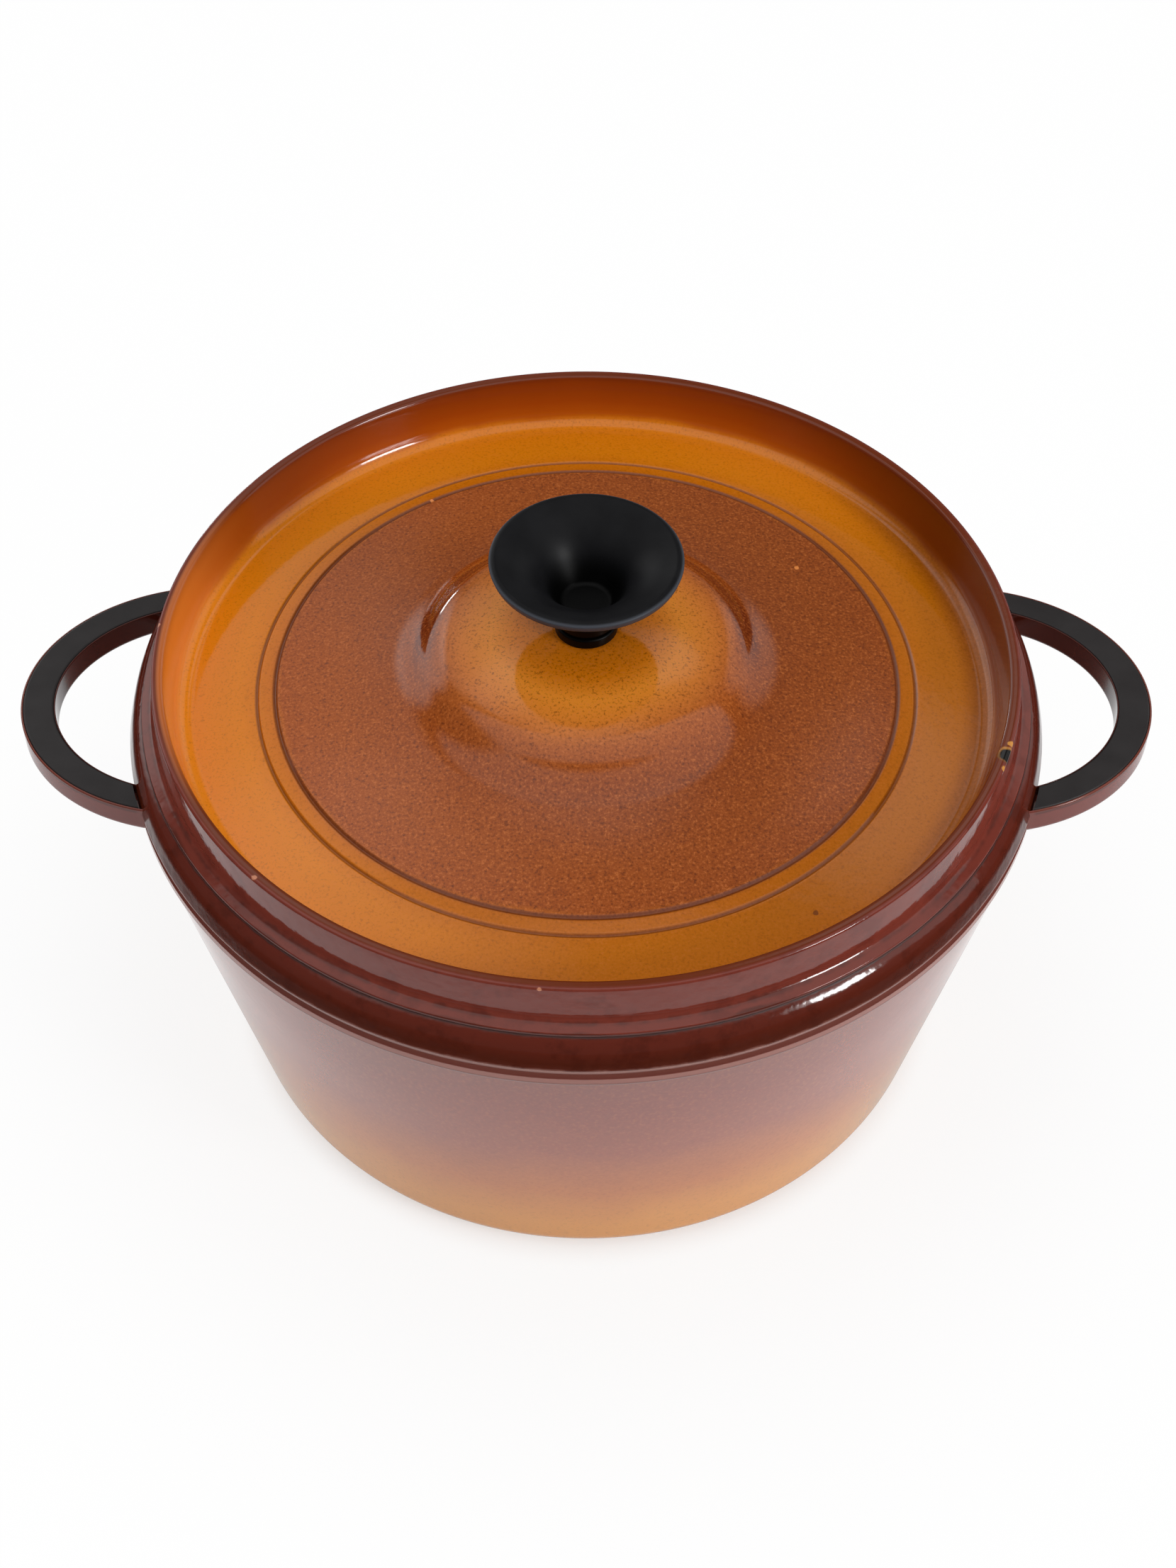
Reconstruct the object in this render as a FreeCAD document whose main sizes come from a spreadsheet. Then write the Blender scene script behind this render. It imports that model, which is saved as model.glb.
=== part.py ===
import FreeCAD, Part
import math
import os
import Sketcher
from types import SimpleNamespace

# A round enamelled cast-iron dutch oven with a lift-off lid.
# The frame stands on the middle of the base: +Z up, the two side loops on -X and +X.

SIZES = {
    # Pot
    "mouth_radius": 126.0,
    "rim_width": 5.5,
    "rim_height": 139.5,
    "rim_edge_round": 5.0,
    "mouth_edge_round": 0.6,
    "neck_depth": 8.5,
    "neck_round": 6.0,
    "neck_run": 10.0,
    "wall_thickness": 4.0,
    "base_thickness": 4.5,
    "wall_draft_angle": 11.31,
    "foot_round": 12.0,
    "floor_round": 9.0,
    # Band round the rim, and the step and bead under it
    "band_height": 10.0,
    "band_flare": 5.7,
    "band_belly": 3.9,
    "band_belly_drop": 3.4,
    "band_belly_round": 9.0,
    "step_depth": 1.0,
    "step_height": 2.4,
    "bead_height": 4.9,
    "bead_depth": 0.8,
    "bead_round": 0.6,
    # Side loops
    "loop_sink": 21.6,
    "loop_half_length": 55.0,
    "loop_half_width": 47.9,
    "loop_bar_at_tip": 10.6,
    "loop_bar_at_side": 8.9,
    "loop_drop": 8.0,
    "loop_thickness": 9.0,
    "loop_edge_round": 1.8,
    # Grips let into the loops
    "channel_depth": 3.5,
    "channel_lip": 0.9,
    "grip_gap": 0.1,
    "grip_stand": 0.2,
    "grip_end_gap": 0.9,
    "grip_screw_angle": 40.0,
    "grip_screw_radius": 1.5,
    "grip_screw_play": 0.15,
    "grip_screw_head_overhang": 1.4,
    "grip_screw_head_height": 1.7,
    "grip_screw_cover": 1.2,
    "grip_screw_hole_spare": 0.3,
    "grip_screw_slot_width": 0.7,
    "grip_screw_slot_depth": 0.7,
    # Lid
    "lid_thickness": 3.7,
    "lid_setback": 1.0,
    "lid_flare": 2.5,
    "lid_flare_height": 3.0,
    "lid_flare_round": 5.0,
    "lid_side_lean": 0.5,
    "lid_foot_round": 0.5,
    "lip_height": 14.0,
    "lip_width": 3.3,
    "lip_flat": 0.3,
    "tray_wall_lean": 2.6,
    "tray_depth": 17.1,
    "tray_round": 5.0,
    "skirt_gap": 1.0,
    "skirt_stand": 0.9,
    "skirt_draft": 0.5,
    "skirt_round": 2.0,
    "skirt_wall": 4.0,
    "tray_width": 23.6,
    "tray_slope_angle": 6.4,
    "ring_spacing": 5.5,
    "ring_slope_angle": 10.8,
    "ring_width": 1.6,
    "ring_depth": 0.6,
    "disc_slope_angle": 9.2,
    "disc_bend_share": 0.6,
    "mound_foot_angle": 14.6,
    "mound_radius": 51.1,
    "mound_foot_round": 17.5,
    "mound_flank": 6.7,
    "mound_flank_angle": 43.0,
    "mound_shoulder_round": 16.0,
    "crown_edge_angle": 13.4,
    "crown_bend_share": 0.65,
    "crown_angle": 3.8,
    "knob_seat_margin": 0.7,
    # Knob and what holds it
    "collar_radius": 9.3,
    "collar_height": 3.5,
    "collar_round": 0.7,
    "knob_radius": 28.2,
    "knob_height": 24.6,
    "knob_edge_height": 3.0,
    "knob_edge_round": 1.3,
    "knob_foot_radius": 8.7,
    "knob_foot_height": 3.0,
    "knob_foot_round": 0.9,
    "knob_neck_radius": 7.7,
    "knob_neck_rise": 0.7,
    "knob_neck_round": 0.5,
    "bell_wall": 3.4,
    "bell_wall_step": 2.9,
    "bell_flare_width": 13.0,
    "bell_flare_drop": 4.6,
    "bell_flare_round": 22.0,
    "bell_lip_drop": 0.7,
    "bell_lip_width": 1.9,
    "bell_floor_radius": 7.4,
    "bell_floor_thickness": 2.0,
    "bell_floor_round": 1.8,
    "insert_wall": 1.5,
    "insert_length": 5.0,
    "insert_fit": 0.03,
    "screw_radius": 3.0,
    "thread_play": 0.05,
    "screw_play": 0.25,
    "screw_tip_gap": 0.5,
    "screw_head_overhang": 3.0,
    "screw_head_height": 3.6,
    "screw_head_round": 1.8,
    "screw_slot_width": 1.3,
    "screw_slot_depth": 1.5,
    "flat_washer_width": 4.75,
    "flat_washer_height": 1.2,
    "lock_washer_width": 2.15,
    "lock_washer_height": 1.6,
    "lock_washer_split_angle": 14.0,
}


class Size:
    """A length, angle or ratio: its number now, and the expression that gives it in the document."""

    def __init__(self, value, text=None):
        self.value = value
        self.text = text if text else repr(value)

    def __add__(self, other):
        return combine(self, "+", other)

    def __sub__(self, other):
        return combine(self, "-", other)

    def __mul__(self, other):
        return combine(self, "*", other)

    def __truediv__(self, other):
        return combine(self, "/", other)

    def __radd__(self, other):
        return combine(other, "+", self)

    def __rsub__(self, other):
        return combine(other, "-", self)

    def __rmul__(self, other):
        return combine(other, "*", self)

    def __neg__(self):
        return combine(0, "-", self)


def as_size(number):
    return number if isinstance(number, Size) else Size(number)


def combine(left, sign, right):
    left = as_size(left)
    right = as_size(right)
    values = {
        "+": left.value + right.value,
        "-": left.value - right.value,
        "*": left.value * right.value,
        "/": left.value / right.value if right.value else 0.0,
    }
    return Size(values[sign], f"({left.text} {sign} {right.text})")


def sine(angle):
    return Size(math.sin(math.radians(angle.value)), f"sin({angle.text})")


def cosine(angle):
    return Size(math.cos(math.radians(angle.value)), f"cos({angle.text})")


def tangent(angle):
    return Size(math.tan(math.radians(angle.value)), f"tan({angle.text})")


# How a sketch numbers its origin, its axes and the points of an element
Y_AXIS, X_AXIS = range(-2, 0)
ORIGIN = X_AXIS
START, END, CENTRE = range(1, 4)

UP = FreeCAD.Vector(0, 0, 1)
FULL_TURN = 360
HALF_TURN = 180
FLAT_TOLERANCE = 1e-4

doc = FreeCAD.newDocument("dutch_oven")
sheet = doc.addObject("Spreadsheet::Sheet", "Sizes")
for row, (size_name, size_value) in enumerate(SIZES.items(), start=1):
    sheet.set(f"A{row}", size_name)
    sheet.set(f"B{row}", str(size_value))
    sheet.setAlias(f"B{row}", size_name)
doc.recompute()
size = SimpleNamespace(**{name: Size(float(getattr(sheet, name)), f"Sizes.{name}") for name in SIZES})


# Places that more than one piece shares

rim_radius = size.mouth_radius + size.rim_width
band_radius = rim_radius + size.band_flare
wall_top_radius = band_radius - size.step_depth
band_bottom = size.rim_height - size.band_height
wall_top = band_bottom - size.step_height - size.bead_height
wall_foot_radius = wall_top_radius - wall_top * tangent(size.wall_draft_angle)
loop_centre = band_radius - size.loop_sink
loop_top = size.rim_height - size.loop_drop
loop_bottom = loop_top - size.loop_thickness
channel_floor = loop_top - size.channel_depth
skirt_radius = size.mouth_radius - size.skirt_gap
lid_foot_radius = rim_radius - size.lid_setback
lip_radius = lid_foot_radius - size.lid_flare
tray_radius = lip_radius - size.lip_width - size.tray_wall_lean
ring_outer_radius = tray_radius - size.tray_width
ring_inner_radius = ring_outer_radius - size.ring_spacing
grip_height = size.channel_depth - size.grip_gap + size.grip_stand
grip_top = channel_floor + size.grip_gap + grip_height
grip_screw_tip = grip_top - size.grip_screw_cover - size.grip_screw_hole_spare
bar_half_length = size.loop_half_length - size.loop_bar_at_tip / 2
bar_half_width = size.loop_half_width - size.loop_bar_at_side / 2
grip_screw_x = loop_centre + bar_half_length * cosine(size.grip_screw_angle)
grip_screw_y = bar_half_width * sine(size.grip_screw_angle)
knob_seat_radius = size.collar_radius + size.knob_seat_margin
insert_radius = size.screw_radius + size.insert_wall
screw_bore = size.screw_radius + size.screw_play

# Heights on the lid, counted from its seat on the rim, from the tray's edge in to the crown
tray_edge = size.lip_height - size.tray_depth
skirt_bottom = tray_edge - size.lid_thickness - size.skirt_stand
ring_outer_height = tray_edge + size.tray_width * tangent(size.tray_slope_angle)
ring_inner_height = ring_outer_height + size.ring_spacing * tangent(size.ring_slope_angle)
disc_half_run = (ring_inner_radius - size.mound_radius) / 2
disc_bend_radius = size.mound_radius + disc_half_run
disc_bend_height = ring_inner_height + disc_half_run * tangent(size.disc_slope_angle)
disc_bend_turn = (size.mound_foot_angle - size.disc_slope_angle) / 2
disc_bend_round = disc_half_run * size.disc_bend_share / tangent(disc_bend_turn)
mound_foot_height = disc_bend_height + disc_half_run * tangent(size.mound_foot_angle)
shoulder_radius = size.mound_radius - size.mound_flank
shoulder_height = mound_foot_height + size.mound_flank * tangent(size.mound_flank_angle)
crown_half_run = (shoulder_radius - knob_seat_radius) / 2
crown_bend_radius = knob_seat_radius + crown_half_run
crown_bend_height = shoulder_height + crown_half_run * tangent(size.crown_edge_angle)
crown_bend_turn = (size.crown_edge_angle - size.crown_angle) / 2
crown_round = crown_half_run * size.crown_bend_share / tangent(crown_bend_turn)
knob_seat_height = crown_bend_height + crown_half_run * tangent(size.crown_angle)
washer_seat = size.rim_height + knob_seat_height - size.lid_thickness
knob_base = size.rim_height + knob_seat_height + size.collar_height


# Sketching

def bind(sketch, kind, *places_and_size):
    """A constraint whose number follows an expression."""
    wanted = places_and_size[-1]
    index = sketch.addConstraint(Sketcher.Constraint(kind, *places_and_size[:-1], wanted.value))
    sketch.setExpression(f"Constraints[{index}]", wanted.text)


def place_point(sketch, element, end, x, y):
    """Hold one point of the sketch at x, y."""
    if x.value == 0:
        sketch.addConstraint(Sketcher.Constraint("PointOnObject", element, end, Y_AXIS))
    else:
        bind(sketch, "DistanceX", ORIGIN, START, element, end, x)
    if y.value == 0:
        sketch.addConstraint(Sketcher.Constraint("PointOnObject", element, end, X_AXIS))
    else:
        bind(sketch, "DistanceY", ORIGIN, START, element, end, y)


def corner_points(before, here, after, rounding):
    """Where a rounding starts and ends, and the middle of its circle."""
    to_before = (before - here).normalize()
    to_after = (after - here).normalize()
    half_angle = to_before.getAngle(to_after) / 2
    start = here + to_before * (rounding / math.tan(half_angle))
    end = here + to_after * (rounding / math.tan(half_angle))
    middle = here + (to_before + to_after).normalize() * (rounding / math.sin(half_angle))
    return start, end, middle


def add_rounding(sketch, start, end, middle, rounding):
    """A corner's arc, with which of its own ends the outline enters and leaves by."""
    turns_left = (start - middle).cross(end - middle).z > 0
    first, last = (start, end) if turns_left else (end, start)
    from_angle = math.atan2(first.y - middle.y, first.x - middle.x)
    to_angle = math.atan2(last.y - middle.y, last.x - middle.x)
    circle = Part.Circle(middle, UP, rounding)
    arc = sketch.addGeometry(Part.ArcOfCircle(circle, from_angle, to_angle), False)
    return (arc, START, END) if turns_left else (arc, END, START)


def draw_outline(sketch, corners):
    """A closed outline of straight runs; a corner given with a radius is rounded."""
    corners = [tuple(as_size(part) for part in corner) for corner in corners]
    points = [FreeCAD.Vector(corner[0].value, corner[1].value, 0) for corner in corners]
    count = len(corners)
    bends = []
    for index, corner in enumerate(corners):
        if len(corner) == 3:
            around = (points[index - 1], points[index], points[(index + 1) % count])
            bends.append(corner_points(*around, corner[2].value))
        else:
            bends.append((points[index], points[index], None))
    runs = []
    for index in range(count):
        run = Part.LineSegment(bends[index][1], bends[(index + 1) % count][0])
        runs.append(sketch.addGeometry(run, False))
    for index, corner in enumerate(corners):
        arriving = runs[index - 1]
        leaving = runs[index]
        if len(corner) == 3:
            start, end, middle = bends[index]
            arc, enter, leave = add_rounding(sketch, start, end, middle, corner[2].value)
            mark = sketch.addGeometry(Part.Point(points[index]), True)
            place_point(sketch, mark, START, corner[0], corner[1])
            sketch.addConstraint(Sketcher.Constraint("PointOnObject", mark, START, arriving))
            sketch.addConstraint(Sketcher.Constraint("PointOnObject", mark, START, leaving))
            sketch.addConstraint(Sketcher.Constraint("Tangent", arriving, END, arc, enter))
            sketch.addConstraint(Sketcher.Constraint("Tangent", arc, leave, leaving, START))
            bind(sketch, "Radius", arc, corner[2])
        else:
            sketch.addConstraint(Sketcher.Constraint("Coincident", arriving, END, leaving, START))
            place_point(sketch, leaving, START, corner[0], corner[1])


def draw_ellipse(sketch, centre_x, half_length, half_width):
    """An ellipse with its middle on the X axis, half_length along X and half_width along Y."""
    middle = FreeCAD.Vector(centre_x.value, 0, 0)
    along_x = middle + FreeCAD.Vector(half_length.value, 0, 0)
    along_y = middle + FreeCAD.Vector(0, half_width.value, 0)
    lies_along_x = half_length.value >= half_width.value
    major_end, minor_end = (along_x, along_y) if lies_along_x else (along_y, along_x)
    major_half, minor_half = (half_length, half_width) if lies_along_x else (half_width, half_length)
    ellipse = sketch.addGeometry(Part.Ellipse(major_end, minor_end, middle), False)
    sketch.exposeInternalGeometry(ellipse)
    major_axis, minor_axis = ellipse + 1, ellipse + 2
    place_point(sketch, ellipse, CENTRE, centre_x, Size(0))
    sketch.addConstraint(Sketcher.Constraint("Horizontal" if lies_along_x else "Vertical", major_axis))
    bind(sketch, "Distance", major_axis, 2 * major_half)
    bind(sketch, "Distance", minor_axis, 2 * minor_half)


def draw_loop(sketch, side, inset):
    """The ring between a loop's outer and inner ellipses, drawn in by inset from both."""
    centre = side * loop_centre
    inner_length = size.loop_half_length - size.loop_bar_at_tip
    inner_width = size.loop_half_width - size.loop_bar_at_side
    draw_ellipse(sketch, centre, size.loop_half_length - inset, size.loop_half_width - inset)
    draw_ellipse(sketch, centre, inner_length + inset, inner_width + inset)


# Bodies and features

def new_body(name):
    body = doc.addObject("PartDesign::Body", name)
    body.Label = name
    return body


def raise_body(body, height):
    """Stand a body's own origin at a height on the object's axis."""
    body.Placement = FreeCAD.Placement(FreeCAD.Vector(0, 0, height.value), FreeCAD.Rotation())
    body.setExpression("Placement.Base.z", height.text)


def origin_plane(body, role):
    return next(feature for feature in body.Origin.OriginFeatures if feature.Role == role)


def new_sketch(body, name, role, shift=(0, 0, 0)):
    """A sketch on one of the body's own planes, shifted along the sketch's own x, y and normal."""
    sketch = body.newObject("Sketcher::SketchObject", name)
    sketch.AttachmentSupport = [(origin_plane(body, role), "")]
    sketch.MapMode = "FlatFace"
    shift = [as_size(part) for part in shift]
    offset = FreeCAD.Vector(*(part.value for part in shift))
    sketch.AttachmentOffset = FreeCAD.Placement(offset, FreeCAD.Rotation())
    for axis, part in zip("xyz", shift):
        if part.value:
            sketch.setExpression(f"AttachmentOffset.Base.{axis}", part.text)
    return sketch


def material_before(body):
    doc.recompute()
    return body.Tip.Shape.Volume if body.Tip else 0.0


def expect_change(feature, before, added):
    """A cut has to take material away, and an addition has to bring some."""
    doc.recompute()
    change = feature.Shape.Volume - before
    if (change > 0) != added or change == 0:
        raise RuntimeError(f"{feature.Name} changed the volume by {change}")


def turn(body, name, corners, kind="PartDesign::Revolution", angle=None, shift=(0, 0, 0)):
    """Turn an outline, given as radius and height, about an upright axis."""
    sketch = new_sketch(body, f"{name}_outline", "XZ_Plane", shift)
    draw_outline(sketch, corners)
    before = material_before(body)
    feature = body.newObject(kind, name)
    feature.Refine = False
    feature.Profile = sketch
    feature.ReferenceAxis = (sketch, ["V_Axis"])
    feature.Angle = FULL_TURN
    if angle is not None:
        feature.Angle = angle.value
        feature.setExpression("Angle", angle.text)
    expect_change(feature, before, kind == "PartDesign::Revolution")
    return feature


def groove(body, name, corners, shift=(0, 0, 0)):
    return turn(body, name, corners, kind="PartDesign::Groove", shift=shift)


def raise_pad(body, sketch, name, length):
    before = material_before(body)
    pad = body.newObject("PartDesign::Pad", name)
    pad.Profile = sketch
    pad.Length = length.value
    pad.setExpression("Length", length.text)
    expect_change(pad, before, True)
    return pad


def sink_pocket(body, sketch, name, length, upwards=False):
    before = material_before(body)
    pocket = body.newObject("PartDesign::Pocket", name)
    pocket.Profile = sketch
    pocket.Reversed = upwards
    pocket.Length = length.value
    pocket.setExpression("Length", length.text)
    expect_change(pocket, before, False)
    return pocket


def mirror_both_ways(body, feature, name):
    """Repeat a feature on the other side of the XZ and of the YZ plane."""
    pattern = body.newObject("PartDesign::MultiTransform", name)
    pattern.Originals = [feature]
    mirrors = []
    for role in ("XZ_Plane", "YZ_Plane"):
        mirror = body.newObject("PartDesign::Mirrored", f"{name}_{role[:2].lower()}")
        mirror.MirrorPlane = (origin_plane(body, role), [""])
        mirrors.append(mirror)
    pattern.Transformations = mirrors
    body.Tip = pattern
    doc.recompute()
    return pattern


def edges_at_height(shape, height):
    """The names of the edges that lie flat at a height."""
    names = []
    for number, edge in enumerate(shape.Edges, start=1):
        box = edge.BoundBox
        if max(abs(box.ZMin - height), abs(box.ZMax - height)) < FLAT_TOLERANCE:
            names.append(f"Edge{number}")
    return names


# Pieces

def make_pot():
    """The cast pot: base, drafted wall, banded rim and the two side loops in one casting."""
    pot = new_body("pot")
    loops = new_sketch(pot, "loop_rings", "XY_Plane", (0, 0, loop_bottom))
    for side in (-1, 1):
        draw_loop(loops, side, Size(0))
    loop_pad = raise_pad(pot, loops, "loops", size.loop_thickness)
    rounded = pot.newObject("PartDesign::Fillet", "loop_edges")
    rounded.Base = (loop_pad, edges_at_height(loop_pad.Shape, loop_bottom.value))
    rounded.Radius = size.loop_edge_round.value
    rounded.setExpression("Radius", size.loop_edge_round.text)
    doc.recompute()
    channels = new_sketch(pot, "channel_rings", "XY_Plane", (0, 0, loop_top))
    for side in (-1, 1):
        draw_loop(channels, side, size.channel_lip)
    sink_pocket(pot, channels, "grip_channels", size.channel_depth)
    hole = groove(pot, "grip_screw_hole", grip_screw_hole_corners(), (grip_screw_x, 0, -grip_screw_y))
    mirror_both_ways(pot, hole, "grip_screw_holes")
    turn(pot, "outer_form", pot_outer_corners())
    groove(pot, "hollow", pot_inner_corners())
    return pot


def pot_outer_corners():
    bead_radius = wall_top_radius + size.bead_depth
    bead_top = wall_top + size.bead_height
    step_radius = band_radius - size.step_depth - size.bead_depth / 2
    belly_radius = rim_radius + size.band_belly
    belly_height = size.rim_height - size.band_belly_drop
    half = size.bead_height / 2
    return [
        (0, 0),
        (wall_foot_radius, 0, size.foot_round),
        (wall_top_radius, wall_top, size.bead_round),
        (bead_radius, wall_top + half / 2, size.bead_round),
        (bead_radius, bead_top - half / 2, size.bead_round),
        (step_radius, bead_top),
        (step_radius, band_bottom - size.step_height / 3),
        (band_radius, band_bottom, size.bead_round / 2),
        (belly_radius, belly_height, size.band_belly_round),
        (rim_radius, size.rim_height, size.rim_edge_round),
        (0, size.rim_height),
    ]


def pot_inner_corners():
    """The hollow: floor, drafted wall, and the neck that draws in to the mouth."""
    slant_wall = size.wall_thickness / cosine(size.wall_draft_angle)
    neck_bottom = size.rim_height - size.neck_depth - size.neck_run
    inner_foot = wall_foot_radius - slant_wall + size.base_thickness * tangent(size.wall_draft_angle)
    inner_top = wall_foot_radius - slant_wall + neck_bottom * tangent(size.wall_draft_angle)
    above = size.rim_height + size.rim_width
    return [
        (0, size.base_thickness),
        (inner_foot, size.base_thickness, size.floor_round),
        (inner_top, neck_bottom, size.neck_round),
        (size.mouth_radius, size.rim_height - size.neck_depth, size.neck_round),
        (size.mouth_radius, size.rim_height, size.mouth_edge_round),
        (size.mouth_radius + size.rim_width / 4, size.rim_height),
        (size.mouth_radius + size.rim_width / 4, above),
        (0, above),
    ]


def grip_screw_hole_corners():
    """A clearance hole from under the loop up into its channel, sunk for the screw's head."""
    hole_radius = size.grip_screw_radius + size.grip_screw_play
    head_radius = hole_radius + size.grip_screw_head_overhang
    return [
        (0, loop_bottom - size.grip_screw_play),
        (head_radius, loop_bottom - size.grip_screw_play),
        (head_radius, loop_bottom),
        (hole_radius, loop_bottom + size.grip_screw_head_height),
        (hole_radius, channel_floor + size.grip_gap),
        (0, channel_floor + size.grip_gap),
    ]


def grip_screw_corners():
    """A countersunk screw, head down, that ends inside the grip."""
    return [
        (0, loop_bottom),
        (size.grip_screw_radius + size.grip_screw_head_overhang, loop_bottom),
        (size.grip_screw_radius, loop_bottom + size.grip_screw_head_height),
        (size.grip_screw_radius, grip_screw_tip),
        (0, grip_screw_tip),
    ]


def make_grip(name, side):
    """A flat grip let into a loop's channel; it stops just short of the pot's band."""
    grip = new_body(name)
    if side < 0:
        grip.Placement = FreeCAD.Placement(FreeCAD.Vector(), FreeCAD.Rotation(UP, HALF_TURN))
    bottom = channel_floor + size.grip_gap
    ring = new_sketch(grip, f"{name}_ring", "XY_Plane", (0, 0, bottom))
    draw_loop(ring, 1, size.channel_lip + size.grip_gap)
    raise_pad(grip, ring, f"{name}_bar", grip_height)
    end_radius = band_radius + size.grip_end_gap
    above = bottom + grip_height + size.grip_gap
    groove(grip, f"{name}_ends", post(end_radius, channel_floor, above))
    hole_top = grip_screw_tip + size.grip_screw_hole_spare
    hole = post(size.grip_screw_radius + size.thread_play, channel_floor, hole_top)
    for end, sign in (("front", -1), ("back", 1)):
        groove(grip, f"{name}_{end}_hole", hole, (grip_screw_x, 0, -sign * grip_screw_y))
    return grip


def post(radius, bottom, top):
    """The outline of a plain round post."""
    return [(0, bottom), (radius, bottom), (radius, top), (0, top)]


def make_grip_screws():
    """Four equal countersunk screws, two under each loop."""
    screws = new_body("grip_screws")
    place = (grip_screw_x, 0, -grip_screw_y)
    screw = turn(screws, "first_grip_screw", grip_screw_corners(), shift=place)
    slot = new_sketch(screws, "grip_screw_slot", "XY_Plane", (grip_screw_x, grip_screw_y, loop_bottom))
    head_radius = size.grip_screw_radius + size.grip_screw_head_overhang
    draw_slot(slot, head_radius, size.grip_screw_slot_width)
    cut = sink_pocket(screws, slot, "first_grip_screw_slot", size.grip_screw_slot_depth, upwards=True)
    pattern = mirror_both_ways(screws, screw, "grip_screw_set")
    pattern.Originals = [screw, cut]
    return screws


def draw_slot(sketch, half_length, width):
    """A driver slot right across a screw's head."""
    draw_outline(sketch, [
        (-half_length, -width / 2),
        (half_length, -width / 2),
        (half_length, width / 2),
        (-half_length, width / 2),
    ])


def make_lid():
    """The cast lid: raised lip, sloping tray, two ring grooves and a low mound under the knob."""
    lid = new_body("lid")
    raise_body(lid, size.rim_height)
    turn(lid, "lid_form", lid_top_corners() + lid_side_corners() + lid_under_corners())
    return lid


def lid_top_corners():
    """From the screw hole out over the mound, disc, rings and tray to the lip."""
    half_ring = size.ring_width / 2
    ring_drop = half_ring * tangent(size.ring_slope_angle)
    tray_drop = half_ring * tangent(size.tray_slope_angle)
    disc_rise = half_ring * tangent(size.disc_slope_angle)
    return [
        (screw_bore, knob_seat_height),
        (knob_seat_radius, knob_seat_height),
        (crown_bend_radius, crown_bend_height, crown_round),
        (shoulder_radius, shoulder_height, size.mound_shoulder_round),
        (size.mound_radius, mound_foot_height, size.mound_foot_round),
        (disc_bend_radius, disc_bend_height, disc_bend_round),
        (ring_inner_radius - half_ring, ring_inner_height + disc_rise),
        (ring_inner_radius, ring_inner_height - size.ring_depth, half_ring / 2),
        (ring_inner_radius + half_ring, ring_inner_height - ring_drop),
        (ring_outer_radius - half_ring, ring_outer_height + ring_drop),
        (ring_outer_radius, ring_outer_height - size.ring_depth, half_ring / 2),
        (ring_outer_radius + half_ring, ring_outer_height - tray_drop),
        (tray_radius, tray_edge, size.tray_round),
        (lip_radius - size.lip_width, size.lip_height, (size.lip_width - size.lip_flat) / 2),
    ]


def lid_side_corners():
    """Down the outside to the seat, in along it, and down the skirt that enters the mouth."""
    side_radius = lip_radius + size.lid_side_lean
    return [
        (lip_radius, size.lip_height, (size.lip_width - size.lip_flat) / 2),
        (side_radius, size.lid_flare_height, size.lid_flare_round),
        (lid_foot_radius, 0, size.lid_foot_round),
        (skirt_radius, 0),
        (skirt_radius - size.skirt_draft, skirt_bottom, size.skirt_round),
    ]


def under(radius, height, slope_inside, slope_outside):
    """A corner of the lid's underside: the top corner moved in square by the lid's thickness."""
    mean_slope = (slope_inside + slope_outside) / 2
    reach = size.lid_thickness / cosine((slope_outside - slope_inside) / 2)
    return radius - reach * sine(mean_slope), height - reach * cosine(mean_slope)


def lid_under_corners():
    """The underside, from the skirt in to the screw hole."""
    flank = size.mound_flank_angle
    inner_skirt = skirt_radius - size.skirt_wall
    skirt_top = tray_edge + (tray_radius - inner_skirt) * tangent(size.tray_slope_angle)
    skirt_under = under(inner_skirt, skirt_top, size.tray_slope_angle, size.tray_slope_angle)
    disc_under = under(disc_bend_radius, disc_bend_height, size.mound_foot_angle, size.disc_slope_angle)
    foot_under = under(size.mound_radius, mound_foot_height, flank, size.mound_foot_angle)
    shoulder_under = under(shoulder_radius, shoulder_height, size.crown_edge_angle, flank)
    crown_under = under(crown_bend_radius, crown_bend_height, size.crown_angle, size.crown_edge_angle)
    seat_under = knob_seat_height - size.lid_thickness
    return [
        (skirt_under[0] + size.skirt_stand, skirt_bottom, size.skirt_stand / 2),
        skirt_under,
        (*disc_under, disc_bend_round),
        (*foot_under, size.mound_foot_round + size.lid_thickness),
        (*shoulder_under, size.mound_shoulder_round - size.lid_thickness),
        (*crown_under, crown_round - size.lid_thickness),
        (knob_seat_radius, seat_under),
        (screw_bore, seat_under),
    ]


def make_knob_collar():
    """The ring between the mound and the knob's foot."""
    collar = new_body("knob_collar")
    raise_body(collar, size.rim_height + knob_seat_height)
    turn(collar, "collar_ring", [
        (screw_bore, 0),
        (size.collar_radius, 0, size.collar_round),
        (size.collar_radius, size.collar_height, size.collar_round),
        (screw_bore, size.collar_height),
    ])
    return collar


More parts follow.
